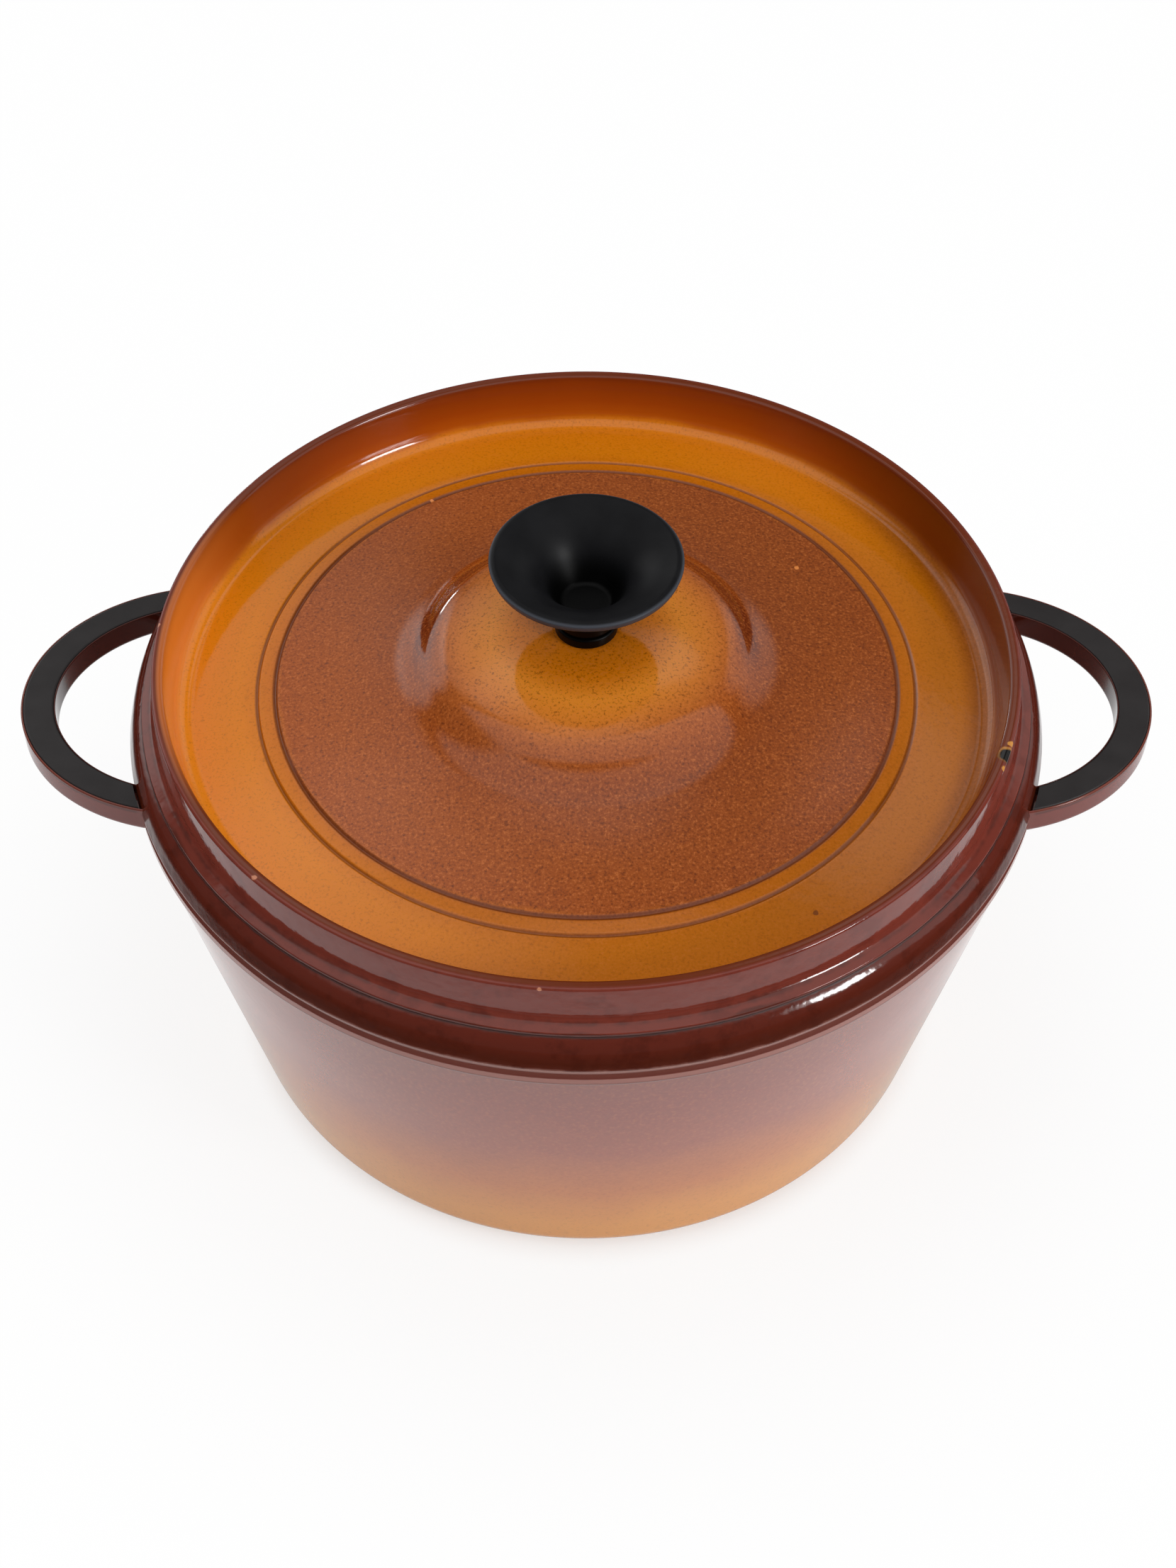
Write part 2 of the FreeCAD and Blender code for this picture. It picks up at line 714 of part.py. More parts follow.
def make_knob():
    """The trumpet-shaped knob: a beaded foot, a short neck and a bell with a funnel in its top."""
    knob = new_body("knob")
    raise_body(knob, knob_base)
    pocket = insert_radius + size.insert_fit
    flare_radius = size.knob_radius - size.bell_flare_width
    flare_height = size.knob_height - size.bell_flare_drop
    flare_round = size.bell_flare_round
    floor_height = size.insert_length + size.bell_floor_thickness
    neck_height = size.knob_foot_height + size.knob_neck_rise
    edge_bottom = size.knob_height - size.knob_edge_height
    edge_radius = size.knob_radius - size.bell_lip_drop
    turn(knob, "knob_form", [
        (0, size.insert_length),
        (pocket, size.insert_length),
        (pocket, 0),
        (size.knob_foot_radius, 0, size.knob_foot_round),
        (size.knob_foot_radius, size.knob_foot_height, size.knob_foot_round),
        (size.knob_neck_radius, neck_height, size.knob_neck_round),
        (flare_radius + size.bell_wall_step, flare_height - size.bell_wall, flare_round + size.bell_wall),
        (edge_radius, edge_bottom, size.knob_edge_round),
        (size.knob_radius, size.knob_height - size.bell_lip_drop, size.knob_edge_round / 2),
        (size.knob_radius - size.bell_lip_width, size.knob_height, size.knob_edge_round),
        (flare_radius, flare_height, flare_round),
        (size.bell_floor_radius, floor_height, size.bell_floor_round),
        (0, floor_height),
    ])
    return knob


def make_knob_insert():
    """The threaded insert in the knob's foot; its bore has the thread's outer radius."""
    insert = new_body("knob_insert")
    raise_body(insert, knob_base)
    bore = size.screw_radius + size.thread_play
    turn(insert, "insert_sleeve", [
        (bore, 0),
        (insert_radius, 0),
        (insert_radius, size.insert_length),
        (bore, size.insert_length),
    ])
    return insert


def make_knob_screw():
    """The slotted pan-head screw that comes up from under the lid into the insert."""
    screw = new_body("knob_screw")
    under_head = washer_seat - size.flat_washer_height - size.lock_washer_height
    raise_body(screw, under_head)
    tip = knob_base + size.insert_length - size.screw_tip_gap - under_head
    head_radius = size.screw_radius + size.screw_head_overhang
    turn(screw, "screw_form", [
        (0, -size.screw_head_height),
        (head_radius, -size.screw_head_height, size.screw_head_round),
        (head_radius, 0),
        (size.screw_radius, 0),
        (size.screw_radius, tip, size.screw_tip_gap),
        (0, tip),
    ])
    slot = new_sketch(screw, "screw_slot", "XY_Plane", (0, 0, -size.screw_head_height))
    draw_slot(slot, head_radius, size.screw_slot_width)
    sink_pocket(screw, slot, "driver_slot", size.screw_slot_depth, upwards=True)
    return screw


def make_washer(name, base, width, height, angle=None):
    """A washer on the knob's screw; one given an angle is split."""
    washer = new_body(name)
    raise_body(washer, base)
    edge = screw_bore + width
    corners = [(screw_bore, 0), (edge, 0), (edge, height), (screw_bore, height)]
    turn(washer, f"{name}_ring", corners, angle=angle)
    return washer


def make_washers():
    """A flat washer against the lid, and a split one between it and the screw's head."""
    flat = size.flat_washer_height
    lock = size.lock_washer_height
    turned = FULL_TURN - size.lock_washer_split_angle
    return [
        make_washer("flat_washer", washer_seat - flat, size.flat_washer_width, flat),
        make_washer("lock_washer", washer_seat - flat - lock, size.lock_washer_width, lock, turned),
    ]


def check_document(pieces):
    """Every object has to be computed, and every piece has to be a sound solid."""
    for thing in doc.Objects:
        if {"Invalid", "Error"} & set(thing.State):
            raise RuntimeError(f"{thing.Name} failed: {thing.State}")
    for piece, solids in pieces:
        shape = piece.Shape
        if shape.isNull() or not shape.isValid() or len(shape.Solids) != solids:
            raise RuntimeError(f"{piece.Label} is not {solids} sound solid(s)")


pieces = [
    (make_pot(), 1),
    (make_grip("left_grip", -1), 1),
    (make_grip("right_grip", 1), 1),
    (make_grip_screws(), 4),
    (make_lid(), 1),
    (make_knob_collar(), 1),
    (make_knob(), 1),
    (make_knob_insert(), 1),
    (make_knob_screw(), 1),
]
pieces += [(washer, 1) for washer in make_washers()]
doc.recompute()
check_document(pieces)

os.makedirs("parts", exist_ok=True)
for piece, solids in pieces:
    piece.Shape.exportStep(f"parts/{piece.Label}.step")
    box = piece.Shape.optimalBoundingBox()
    print(piece.Label, round(piece.Shape.Volume), "mm3", f"z {box.ZMin:.2f} to {box.ZMax:.2f}")
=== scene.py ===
import math

import bpy
from mathutils import Matrix, Vector


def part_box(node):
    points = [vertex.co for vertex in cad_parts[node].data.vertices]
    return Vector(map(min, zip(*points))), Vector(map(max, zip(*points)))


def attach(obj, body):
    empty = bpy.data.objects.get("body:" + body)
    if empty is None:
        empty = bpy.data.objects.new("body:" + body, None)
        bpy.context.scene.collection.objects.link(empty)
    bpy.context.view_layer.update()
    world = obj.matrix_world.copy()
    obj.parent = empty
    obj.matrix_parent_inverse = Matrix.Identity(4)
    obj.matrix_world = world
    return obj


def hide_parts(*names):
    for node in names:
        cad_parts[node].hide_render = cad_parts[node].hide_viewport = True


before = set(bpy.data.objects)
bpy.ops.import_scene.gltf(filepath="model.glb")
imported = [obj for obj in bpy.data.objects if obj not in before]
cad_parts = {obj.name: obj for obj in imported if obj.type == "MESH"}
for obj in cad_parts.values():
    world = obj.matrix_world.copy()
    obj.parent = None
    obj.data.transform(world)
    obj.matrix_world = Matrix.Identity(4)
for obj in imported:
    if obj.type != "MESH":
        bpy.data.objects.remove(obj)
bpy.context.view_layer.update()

MM = 0.001
ORIGIN = (0, 0, 0)

# How round pieces are divided: the steps of a full turn, and how many parts it is copied from

ROUND_STEPS = 240
LOOP_STEPS = 160
EIGHTHS = 8
SMOOTH_ANGLE = math.radians(35)

# How outlines are divided, in millimetres

CHORD_GAP = 0.005  # the most that a chord cuts off its arc
LONG_RUN = 1.0  # a straight run that is longer is held near both its ends
HOLD = 0.25  # how far from an end it is held
MERGE_GAP = 0.004  # how near two points are that become one


def from_frame(measure):
    """A measure of the frame in millimetres, to a hundredth."""
    return round(measure / MM, 2)


# From the frame: the rim that the lid rests on, the collar's and the knob's foot, the loops' reach

SEAT = from_frame(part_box("pot")[1].z)
COLLAR_BASE = from_frame(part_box("knob_collar")[0].z)
KNOB_BASE = from_frame(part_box("knob")[0].z)
LOOP_REACH = from_frame(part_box("pot")[1].x)

# Turned outlines in millimetres: radius, height and, where a corner is rounded, the rounding.
# The pot's heights start at the floor, the lid's at the seat and the others' at their own foot.

POT_FLOOR = 4.5
NECK = 131

POT_OUTSIDE = [
    (0, 0),
    (111.76, 0, 12),
    (136.2, 122.2, 0.6),
    (137.0, 123.4, 0.6),
    (137.0, 125.9, 0.6),
    (136.2, 127.1, 0.3),
    (136.2, 128.5, 0.3),
    (137.2, 129.3, 0.6),
    (135.4, 136.1, 9),
    (131.5, SEAT, 5),
]
POT_INSIDE = [
    (126, SEAT, 0.6),
    (126, NECK, 6),
    (131.88, 121, 6),
    (108.58, POT_FLOOR, 9),
    (0, POT_FLOOR),
]

LID_TOP = [
    (3.25, 20.93),
    (10, 20.93),
    (27.2, 19.79, 133),
    (44.4, 15.69, 15),
    (52.6, 8.05, 22),
    (72.05, 3.6, 266),
    (92.2, 0.73, 0.2),
    (93, -0.004, 0.4),
    (93.8, 0.44, 0.2),
    (97.7, -0.3, 0.2),
    (98.5, -1.05, 0.4),
    (99.3, -0.54, 0.2),
    (122.1, -3.1, 5),
    (124.7, 14, 1.2),
]
LID_SIDE = [
    (128, 14, 0.8),
    (128.9, 1.9, 2.5),
    (132.4, 0.5, 0.35),
    (132.55, -0.55, 0.1),
]
LID_UNDER = [
    (130.4, 0),
    (125, 0, 0.3),
    (124.5, -7.7, 2),
    (121.49, -7.7, 0.45),
    (120.59, -6.65, 0.5),
    (71.29, 0.37, 266),
    (49.26, 6.1, 21),
    (42.59, 12.32, 12),
    (26.65, 16.12, 129),
    (10, 17.23),
    (3.25, 17.23),
]

KNOB = [
    (0, 5),
    (4.53, 5),
    (4.53, 0),
    (8.7, 0, 0.9),
    (8.7, 3, 0.9),
    (7.7, 3.7, 0.5),
    (18.1, 16.6, 25.4),
    (27.5, 21.6, 1.3),
    (28.2, 23.9, 0.65),
    (26.3, 24.6, 1.3),
    (15.2, 20.0, 22),
    (7.4, 7, 1.8),
    (0, 7),
]
COLLAR = [
    (3.3, 0),
    (9.3, 0, 0.7),
    (9.3, 3.5, 0.7),
    (3.3, 3.5),
]

# A side loop as a round ring, before it is stretched and moved out, and the grip in its pocket

LOOP_RADIUS = 50
LOOP_STRETCH = (1.1, 0.958, 1)
LOOP_CENTRE = LOOP_REACH - LOOP_RADIUS * LOOP_STRETCH[0]
LOOP_SECTION = [
    (40.6, 122.5, 1.8),
    (40.6, 131.5, 0.2),
    (40.95, 131.5, 0.08),
    (40.95, 128),
    (49.45, 128),
    (49.45, 131.5, 0.08),
    (LOOP_RADIUS, 131.5, 0.4),
    (LOOP_RADIUS, 122.5, 1.8),
]
GRIP_SECTION = [
    (41.05, 128.1),
    (41.05, 131.75, 0.5),
    (49.35, 131.75, 0.5),
    (49.35, 128.1),
]

# Within these radii a loop and a grip are cut away, by a cylinder of this height and middle

LOOP_END_RADIUS = 131
GRIP_END_RADIUS = 137.6
CUTTER_HEIGHT = 100
CUTTER_MIDDLE = 127


def rounding_points(before, here, after, radius):
    """The points of the arc that rounds one corner of an outline."""
    to_before = (before - here).normalized()
    to_after = (after - here).normalized()
    half_angle = to_before.angle(to_after) / 2
    start = here + to_before * (radius / math.tan(half_angle))
    middle = here + (to_before + to_after).normalized() * (radius / math.sin(half_angle))
    turn = math.pi - 2 * half_angle
    step = 2 * math.acos(1 - CHORD_GAP / radius)
    count = max(2, math.ceil(turn / step))
    spoke = start - middle
    side = 1 if to_before.x * to_after.y - to_before.y * to_after.x < 0 else -1
    turns = [Matrix.Rotation(side * turn * index / count, 2) for index in range(count + 1)]
    return [middle + rotation @ spoke for rotation in turns]


def outline(corners, closed=False):
    """An outline's points: corners are rounded, and long runs held near both their ends."""
    places = [Vector(corner[:2]) for corner in corners]
    count = len(corners)
    bends = []
    for index, corner in enumerate(corners):
        if len(corner) == 3:
            around = (places[index - 1], places[index], places[(index + 1) % count])
            bends.append(rounding_points(*around, corner[2]))
        else:
            bends.append([places[index]])
    if closed:
        bends.append(bends[0][:1])
    points = []
    for bend, following in zip(bends, bends[1:]):
        points += bend
        run = following[0] - bend[-1]
        if run.length > LONG_RUN:
            hold = run.normalized() * HOLD
            points += [bend[-1] + hold, following[0] - hold]
    return points + bends[-1]


def spun(name, points, base=0, steps=ROUND_STEPS):
    """A round piece: one point is extruded along the outline, and the line spun and copied."""
    bpy.ops.object.select_all(action="DESELECT")
    bpy.ops.mesh.primitive_circle_add(vertices=3, radius=MM)
    piece = bpy.context.object
    piece.name = name
    piece.data.name = name
    bpy.ops.object.mode_set(mode="EDIT")
    bpy.ops.mesh.select_mode(type="VERT")
    bpy.ops.mesh.select_all(action="SELECT")
    bpy.ops.mesh.merge(type="CENTER")
    bpy.ops.transform.translate(value=(points[0].x * MM, 0, (points[0].y + base) * MM))
    for here, there in zip(points, points[1:]):
        step = ((there.x - here.x) * MM, 0, (there.y - here.y) * MM)
        bpy.ops.mesh.extrude_vertices_move(TRANSFORM_OT_translate={"value": step})
    bpy.ops.mesh.select_all(action="SELECT")
    eighth = math.tau / EIGHTHS
    bpy.ops.mesh.spin(steps=steps // EIGHTHS, angle=eighth, center=ORIGIN, axis=(0, 0, 1))
    for made_so_far in (1, 2, 4):
        turn = eighth * made_so_far
        bpy.ops.mesh.select_all(action="SELECT")
        bpy.ops.mesh.duplicate()
        bpy.ops.transform.rotate(value=turn, orient_axis="Z", center_override=ORIGIN)
    bpy.ops.mesh.select_all(action="SELECT")
    bpy.ops.mesh.remove_doubles(threshold=MERGE_GAP * MM)
    bpy.ops.mesh.normals_make_consistent(inside=False)
    bpy.ops.mesh.select_all(action="DESELECT")
    bpy.ops.object.mode_set(mode="OBJECT")
    bpy.ops.object.shade_smooth()
    return piece


def looped(name, section, side):
    """A round bar, stretched to the side loop's ellipse and moved out to its place."""
    piece = spun(name, outline(section, closed=True), steps=LOOP_STEPS)
    bpy.ops.object.mode_set(mode="EDIT")
    bpy.ops.mesh.select_all(action="SELECT")
    bpy.ops.transform.resize(value=LOOP_STRETCH, center_override=ORIGIN)
    bpy.ops.transform.translate(value=(side * LOOP_CENTRE * MM, 0, 0))
    bpy.ops.mesh.select_all(action="DESELECT")
    bpy.ops.object.mode_set(mode="OBJECT")
    return piece


def cut_away(piece, radius):
    """Take away what lies nearer to the pot's axis than a radius."""
    bpy.ops.object.select_all(action="DESELECT")
    bpy.ops.mesh.primitive_cylinder_add(
        vertices=ROUND_STEPS,
        radius=radius * MM,
        depth=CUTTER_HEIGHT * MM,
        location=(0, 0, CUTTER_MIDDLE * MM),
    )
    cutter = bpy.context.object
    cut = piece.modifiers.new("cut", "BOOLEAN")
    cut.operation = "DIFFERENCE"
    cut.solver = "EXACT"
    cut.object = cutter
    bpy.context.view_layer.objects.active = piece
    bpy.ops.object.modifier_apply(modifier=cut.name)
    bpy.data.objects.remove(cutter)
    bpy.ops.object.select_all(action="DESELECT")
    piece.select_set(True)
    bpy.ops.object.shade_smooth_by_angle(angle=SMOOTH_ANGLE)


# Finishes. A shade is given as it looks on a screen, from 0 to 255, and a length in millimetres.
# A mask such as radius.fade(111, 119) is 0 up to the first length and 1 from the second.


def paint(red, green, blue):
    """A shade as the linear values that shaders use."""
    shares = [value / 255 for value in (red, green, blue)]
    return (*[s / 12.92 if s <= 0.04045 else ((s + 0.055) / 1.055) ** 2.4 for s in shares], 1)


class Signal:
    """One socket of a node. Sums, differences, products and quotients add Math nodes."""

    def __init__(self, tree, socket=None):
        self.tree = tree
        self.socket = socket

    def node(self, kind, settings=(), inputs=(), output=0):
        """Any node: its settings first, then its sockets, each with a value or a signal."""
        made = self.tree.nodes.new(kind)
        for name, value in dict(settings).items():
            if name == "stops":
                ramp = made.color_ramp
                while len(ramp.elements) < len(value):
                    ramp.elements.new(1)
                for element, (place, colour) in zip(ramp.elements, value):
                    element.position = place
                    element.color = colour
            else:
                setattr(made, name, value)
        for name, value in dict(inputs).items():
            if isinstance(value, Signal):
                self.tree.links.new(value.socket, made.inputs[name])
            else:
                made.inputs[name].default_value = value
        return Signal(self.tree, made.outputs[output])

    def math(self, operation, *values):
        """A Math node on signals and numbers."""
        return self.node("ShaderNodeMath", {"operation": operation}, enumerate(values))

    def __add__(self, other):
        return self.math("ADD", self, other)

    def __sub__(self, other):
        return self.math("SUBTRACT", self, other)

    def __mul__(self, other):
        return self.math("MULTIPLY", self, other)

    def __truediv__(self, other):
        return self.math("DIVIDE", self, other)

    def __rsub__(self, other):
        return self.math("SUBTRACT", other, self)

    def __rtruediv__(self, other):
        return self.math("DIVIDE", other, self)

    __radd__ = __add__
    __rmul__ = __mul__

    def fade(self, low, high):
        """0 below low, 1 above high and smooth between."""
        inputs = {"Value": self, "From Min": low, "From Max": high}
        return self.node("ShaderNodeMapRange", {"interpolation_type": "SMOOTHSTEP"}, inputs)

    def colours(self, stops):
        """The shades that belong to the signal's values, from the first stop to the last."""
        low, high = stops[0][0], stops[-1][0]
        places = [((value - low) / (high - low), paint(*shade)) for value, shade in stops]
        share = (self - low) * (1 / (high - low))
        return self.node("ShaderNodeValToRGB", {"stops": places}, {"Fac": share})

    def over(self, below, above):
        """Colour above laid over colour below, as much as the signal says."""
        # A Mix node's sockets share their names, so its colours are called by number
        inputs = {0: self, 6: below, 7: above}
        return self.node("ShaderNodeMix", {"data_type": "RGBA"}, inputs, 2)

    def coat(self, below, shade):
        """One shade laid over a colour, as much as the signal says."""
        return self.over(below, paint(*shade))

    def mix_shader(self, below, above):
        """Shader above in place of shader below, as much as the signal says."""
        return self.node("ShaderNodeMixShader", (), {0: self, 1: below, 2: above})

    def far(self, point):
        """The distance in millimetres to a point that is given in millimetres."""
        ends = {0: self, 1: [value * MM for value in point]}
        return self.vector_math("DISTANCE", ends) * (1 / MM)

    def vector_math(self, operation, inputs):
        """The number that a Vector Math node works out."""
        return self.node("ShaderNodeVectorMath", {"operation": operation}, inputs, "Value")

    def split(self):
        """The X, Y and Z of a vector."""
        parts = self.node("ShaderNodeSeparateXYZ", (), {"Vector": self}).socket.node.outputs
        return [Signal(self.tree, parts[axis]) for axis in "XYZ"]

    def ray(self, kind):
        """1 for light rays of a kind and 0 for the others."""
        return self.node("ShaderNodeLightPath", output=f"Is {kind} Ray")

    def noise(self, scale, detail=2, roughness=0.5):
        """A cloudy pattern from 0 to 1 on the object's coordinates."""
        inputs = {"Vector": self, "Scale": scale, "Detail": detail, "Roughness": roughness}
        return self.node("ShaderNodeTexNoise", (), inputs)

    def wander(self, scale, width, detail=3):
        """A length that wanders round 0, by up to half the width to each side."""
        return (self.noise(scale, detail) - 0.5) * width


def new_finish(name, **surface):
    """An empty material with one surface shader, and the object's coordinates."""
    material = bpy.data.materials.new(name)
    material.use_nodes = True
    tree = material.node_tree
    shader = tree.nodes["Principled BSDF"]
    for socket, value in surface.items():
        shader.inputs[socket.replace("_", " ")].default_value = value
    place = Signal(tree).node("ShaderNodeTexCoord", output="Object")
    return material, shader, place


def axes(place):
    """X, Y and Z in millimetres, and the distance from the pot's axis."""
    x, y, z = (part * (1 / MM) for part in place.split())
    radius = place.math("SQRT", x * x + y * y)
    return x, y, z, radius


def feed(shader, socket, signal):
    """Link a signal to one of the surface shader's sockets."""
    signal.tree.links.new(signal.socket, shader.inputs[socket])


def ripple(place, height, depth):
    """A normal that follows a fine relief."""
    inputs = {"Height": height, "Distance": depth * MM, "Strength": 1}
    return place.node("ShaderNodeBump", (), inputs)


# Where a fleck begins and is whole in a cloudy pattern

FLECK_EDGE = (0.5, 0.74)


def speckle(colour, place, scale, light, dark):
    """The grain of sprayed enamel: light and dark flecks, each kind with a cover and a shade."""
    grain = place.noise(scale, roughness=0.7)
    for flecks, (cover, shade) in ((grain, light), (1 - grain, dark)):
        colour = (flecks.fade(*FLECK_EDGE) * cover).coat(colour, shade)
    return colour


# The relief of fired enamel: how fine its waves, dimples and peel are, and their shares of it

WAVE_SCALE = 70
DIMPLE_SCALE = 260
PEEL_SCALE = 900
DIMPLE_SHARE = 0.6
PEEL_SHARE = 0.06
SKIN_DEPTH = 0.06


def enamel_skin(place, wave):
    """The slow waves, the dimples and the fine orange peel of fired enamel."""
    relief = place.noise(WAVE_SCALE) * wave + place.noise(DIMPLE_SCALE) * wave * DIMPLE_SHARE
    return ripple(place, relief + place.noise(PEEL_SCALE) * PEEL_SHARE, SKIN_DEPTH)


FAULT_CORE = 0.7  # the share of a fault's radius that is all its own shade


def with_faults(colour, place, faults):
    """Small round faults in the enamel: where each is, its radius and its shade."""
    wobble = place.wander(500, width=1.2, detail=2)
    for point, size, shade in faults:
        edge = place.far(point) + wobble
        colour = (1 - edge.fade(size * FAULT_CORE, size)).coat(colour, shade)
    return colour


ORANGE = (224, 136, 66)
PALE = (196, 130, 100)
CHIP_TAN = (206, 140, 62)
CHIP_BLACK = (14, 12, 11)
SPECK_BROWN = (134, 70, 14)

# Where the lid's tray begins, its shades by radius, and inside its lip by height over the seat

TRAY_EDGE = (92, 94)
LID_SHADES = (
    (0, (214, 118, 8)),
    (20, (220, 122, 12)),
    # The mound's amber is its own; its paler, greyer tone from 28 to 38 mm is a painted reflection
    # round the knob
    (28, (230, 139, 42)),
    (38, (200, 113, 40)),
    (44, (168, 87, 33)),
    (52, (156, 75, 22)),
    (75, (164, 80, 17)),
    (91, (164, 79, 16)),
    (94.5, (204, 112, 10)),
    (104, (224, 130, 12)),
    (114, (228, 132, 12)),
    (140, (228, 132, 12)),
)
LIP_INSIDE_SHADES = (
    (0, (180, 84, 12)),
    (5, (160, 66, 8)),
    (14, (132, 50, 9)),
)
# Painted shade on the disc, in the tray and at the tray's foot, and a painted dark reflection on
# the flank
DISC_RIGHT_PAINTED_SHADE = (108, 50, 22)
TRAY_PAINTED_SHADE = (160, 84, 6)
TRAY_FOOT_PAINTED_SHADE = (112, 50, 10)
FLANK_PAINTED_REFLECTION = (88, 28, 14)
LID_LIGHT_FLECK = (212, 122, 58)
LID_DARK_FLECK = (66, 24, 8)
# Inside the lip, painted light to the left and painted shade to the right; on its top, a painted
# highlight
LIP_INSIDE_PAINTED_LIGHT = (234, 134, 50)
LIP_INSIDE_PAINTED_SHADE = (74, 20, 0)
LIP_TOP_BROWN = (106, 42, 10)
LIP_TOP_PAINTED_HIGHLIGHT = (206, 112, 50)
LIP_OUTSIDE_MAROON = (120, 52, 40)
# Painted shade in the cove over the flange and along the seam
COVE_PAINTED_SHADE = (90, 42, 34)
SEAM_PAINTED_SHADE = (88, 36, 25)
WORN_MAROON = (82, 30, 22)
GROOVE_BROWN = (84, 30, 12)

# Each groove's middle, the two edges of its dark line on either side, and how dark it is

GROOVE_LINES = (
    (93.0, 0.4, 1.2, 0.75),
    (98.5, 0.3, 0.9, 0.6),
)

# Pimples and a speck in the enamel, and the chip at the lip

LID_FAULTS = (
    ((-66.4, 31.3, 142), 0.9, ORANGE),
    ((-49.5, 78.7, 140), 0.8, ORANGE),
    ((-48.6, 104.9, 138), 0.8, ORANGE),
    ((65.4, 45.4, 142), 1.0, ORANGE),
    ((19.8, 77.8, 141), 0.8, ORANGE),
    ((48.2, -40.6, 143), 0.8, ORANGE),
    ((63.7, -89.1, 137.5), 1.0, SPECK_BROWN),
    ((-127.6, 7.9, 153), 1.0, PALE),
    ((-89.9, -89.8, 153), 1.0, PALE),
    ((-12.2, -127.9, 153), 0.8, PALE),
    ((119.9, -44.0, 153.2), 3.4, CHIP_TAN),
    ((121.0, -39.9, 153.2), 1.2, CHIP_TAN),
    ((118.2, -49.0, 153.2), 1.1, CHIP_TAN),
    ((119.7, -44.3, 152.6), 3.2, CHIP_BLACK),
)


def lid_top_colour(place, x, y, radius, drift):
    """Amber on the mound and in the tray with brown between, darker to the right and at the tray's
    foot as painted shade, and a painted dark reflection behind the flank.
    """
    rings = radius + drift * 4 * radius.fade(20, 40)
    colour = rings.colours(LID_SHADES)
    tray = radius.fade(*TRAY_EDGE)
    sideways = x + drift * 30
    # The disc is darker to the right: painted shade
    disc_right_shade = sideways.fade(-100, 60) * (1 - tray) * radius.fade(44, 56)
    colour = (disc_right_shade * 0.42).coat(colour, DISC_RIGHT_PAINTED_SHADE)
    # The tray is darker from the middle to the right, and less so behind: painted shade of the lip
    tray_right_shade = sideways.fade(-95, -10) * (1 - x.fade(60, 118) * 0.35) * tray
    less_shade_behind = 0.6 - y.fade(40, 100) * 0.35
    colour = (tray_right_shade * less_shade_behind).coat(colour, TRAY_PAINTED_SHADE)
    # Painted shade at the foot of the lip on the tray's right
    tray_foot_shade = radius.fade(111, 119) * x.fade(70, 112)
    colour = (tray_foot_shade * 0.6).coat(colour, TRAY_FOOT_PAINTED_SHADE)
    # Darker on the back of the mound's flank: a painted dark reflection
    flank_reflection = radius.fade(43, 46.5) * (1 - radius.fade(50, 53))
    behind = (y + drift * 12).fade(-14, 10)
    colour = (flank_reflection * behind * 0.75).coat(colour, FLANK_PAINTED_REFLECTION)
    grain = 1 - tray * 0.55
    light = (grain * 0.5, LID_LIGHT_FLECK)
    dark = (grain * 0.6, LID_DARK_FLECK)
    return speckle(colour, place, 1200, light, dark)


def lip_colour(colour, x, y, radius, above):
    """The inside of the lip, lighter to the left as painted light and darker to the right as
    painted shade, and its top, lighter at the left as a painted highlight.
    """
    inside = above.fade(-2, 0.6) * radius.fade(120.5, 121.5)
    shade = above.colours(LIP_INSIDE_SHADES)
    # Lighter to the left, where light falls on it: painted light
    left = (1 - x.fade(-122, -84)) * (1 - above.fade(9, 15) * 0.4) * (1 - y.fade(0, 75) * 0.85)
    shade = (left * 0.85).coat(shade, LIP_INSIDE_PAINTED_LIGHT)
    # Darker to the right: painted shade
    shade = (x.fade(60, 116) * 0.65).coat(shade, LIP_INSIDE_PAINTED_SHADE)
    colour = inside.over(colour, shade)
    top = above.fade(11.5, 13.5) * radius.fade(124.2, 125.2)
    # Lighter amber on the inner part of the lip's top at the left: a painted highlight
    top_left_highlight = (1 - x.fade(-125, -105)) * (1 - radius.fade(125.8, 127))
    return top.over(colour, (top_left_highlight * 0.7).coat(paint(*LIP_TOP_BROWN), LIP_TOP_PAINTED_HIGHLIGHT))


def lip_outside_colour(colour, place, radius, above, outside):
    """Maroon outside the lip, with painted shade in the cove over the flange and along the seam,
    and worn patches.
    """
    colour = outside.coat(colour, LIP_OUTSIDE_MAROON)
    jag = place.wander(240, width=3)
    jagged = radius + jag * 0.5
    # Darker in the cove over the flange: painted shade
    cove = (1 - (above + jag).fade(1.1, 2.3)) * (1 - jagged.fade(129.6, 130.8)) * outside
    colour = (cove * 0.9).coat(colour, COVE_PAINTED_SHADE)
    # Darker along the seam at the flange's foot: painted shade
    seam = (1 - above.fade(0.1, 0.6)) * jagged.fade(131, 131.6)
    colour = seam.coat(colour, SEAM_PAINTED_SHADE)
    worn = place.noise(90, detail=4, roughness=0.65).fade(0.48, 0.66) * outside
    return (worn * 0.35).coat(colour, WORN_MAROON)


